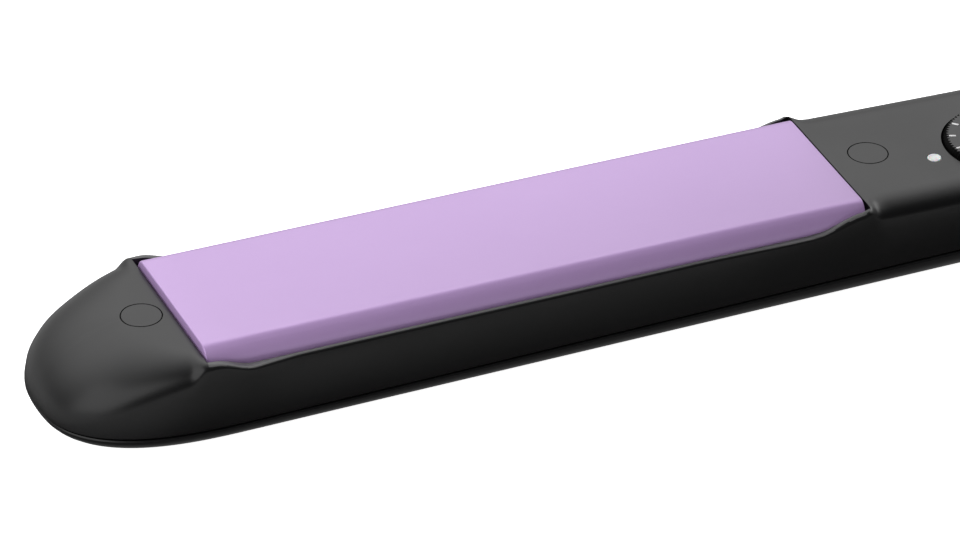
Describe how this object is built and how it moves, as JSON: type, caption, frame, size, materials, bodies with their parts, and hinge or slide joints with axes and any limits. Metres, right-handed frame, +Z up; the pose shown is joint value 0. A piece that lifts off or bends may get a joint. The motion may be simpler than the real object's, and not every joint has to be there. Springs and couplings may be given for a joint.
{
  "type": "flat iron",
  "caption": "Spring-open flat iron: two black arms with floating lilac heater plates, a rotary heat dial with lamp, and a coiled mains cord on a swivel.",
  "frame": {"origin": "on the lower arm's flat underside, straight below the hinge axis, in the arms' middle plane", "axes": "+X from the nose towards the cord, +Y across the arms, +Z up from the resting surface; the hinge axis runs along Y at z = 17.6 mm"},
  "size_m": [0.4917, 0.1692, 0.1335],
  "materials": {
    "satin_black": "satin moulded black plastic, very fine texture",
    "lilac_ceramic": "smooth lilac ceramic coating on aluminium",
    "heat_resin": "dark heat-resistant resin",
    "white_ceramic": "unglazed off-white ceramic",
    "steel": "plain steel",
    "silicone_red": "red-brown silicone rubber",
    "inner_plastic": "matt dark plastic",
    "circuit_board": "green solder-masked board",
    "lamp_white": "milky white light pipe",
    "dial_plastic": "matt dark grey plastic",
    "contact_brass": "bright brass",
    "cord_rubber": "matt black flexible PVC"
  },
  "bodies": {
    "root": {"lower_inner_housing": "satin_black", "lower_outer_cover": "satin_black", "lower_plate_carrier": "heat_resin", "lower_float_pad_front": "silicone_red", "lower_float_pad_rear": "silicone_red", "lower_screw_plug_front": "satin_black", "lower_screw_plug_rear": "satin_black", "lower_shell_screw_front": "steel", "lower_shell_screw_rear": "steel", "potentiometer": "inner_plastic", "control_board": "circuit_board", "status_lamp": "lamp_white", "lamp_lens": "lamp_white", "lower_heater_lead": "silicone_red", "mains_lead": "silicone_red", "hinge_pin": "steel", "hinge_pin_cap": "steel", "hinge_spring": "steel", "contact_strip_live": "contact_brass", "contact_strip_neutral": "contact_brass", "power_cord": "cord_rubber", "mains_plug_body": "cord_rubber", "mains_plug_pin_left": "steel", "mains_plug_pin_right": "steel"},
    "lower_plate": {"lower_heater_plate": "lilac_ceramic", "lower_heater_element": "white_ceramic", "lower_heater_clip": "steel", "thermal_fuse": "white_ceramic", "temperature_sensor": "white_ceramic"},
    "upper_arm": {"upper_inner_housing": "satin_black", "upper_outer_cover": "satin_black", "upper_plate_carrier": "heat_resin", "upper_float_pad_front": "silicone_red", "upper_float_pad_rear": "silicone_red", "upper_screw_plug_front": "satin_black", "upper_screw_plug_rear": "satin_black", "upper_shell_screw_front": "steel", "upper_shell_screw_rear": "steel", "upper_heater_lead": "silicone_red"},
    "upper_plate": {"upper_heater_plate": "lilac_ceramic", "upper_heater_element": "white_ceramic", "upper_heater_clip": "steel"},
    "dial": {"dial_knob": "dial_plastic", "potentiometer_shaft": "inner_plastic"},
    "lock": {"lock_slider": "dial_plastic"},
    "swivel": {"swivel_collar": "inner_plastic", "slip_ring_live": "contact_brass", "slip_ring_neutral": "contact_brass", "strain_relief_boot": "cord_rubber"}
  },
  "joints": [
    {"name": "arm_hinge", "type": "hinge", "parent": "root", "child": "upper_arm", "pos_m": [0, 0, 0.0176], "axis": [0, 1, 0], "range_deg": [-24, 0], "stiffness_Nm_per_rad": 0.6, "springref_deg": 34.38, "deforming": ["hinge_spring"]},
    {"name": "lower_plate_float", "type": "slide", "parent": "root", "child": "lower_plate", "axis": [0, 0, 1], "range_m": [-0.0008, 0], "stiffness_N_per_m": 4000, "springref_m": 0.0004, "deforming": ["lower_float_pad_front", "lower_float_pad_rear"]},
    {"name": "upper_plate_float", "type": "slide", "parent": "upper_arm", "child": "upper_plate", "axis": [0.4067, 0, 0.9135], "range_m": [0, 0.0008], "stiffness_N_per_m": 4000, "springref_m": -0.0004, "deforming": ["upper_float_pad_front", "upper_float_pad_rear"]},
    {"name": "dial_turn", "type": "hinge", "parent": "root", "child": "dial", "pos_m": [-0.0906, -0.0041, 0.015], "axis": [0, 0, 1], "range_deg": [-135, 135]},
    {"name": "lock_slide", "type": "slide", "parent": "upper_arm", "child": "lock", "axis": [0.9135, 0, -0.4067], "range_m": [0, 0.005]},
    {"name": "cord_swivel", "type": "hinge", "parent": "root", "child": "swivel", "pos_m": [0.02, 0, 0.0076], "axis": [1, 0, 0], "continuous": true}
  ]
}
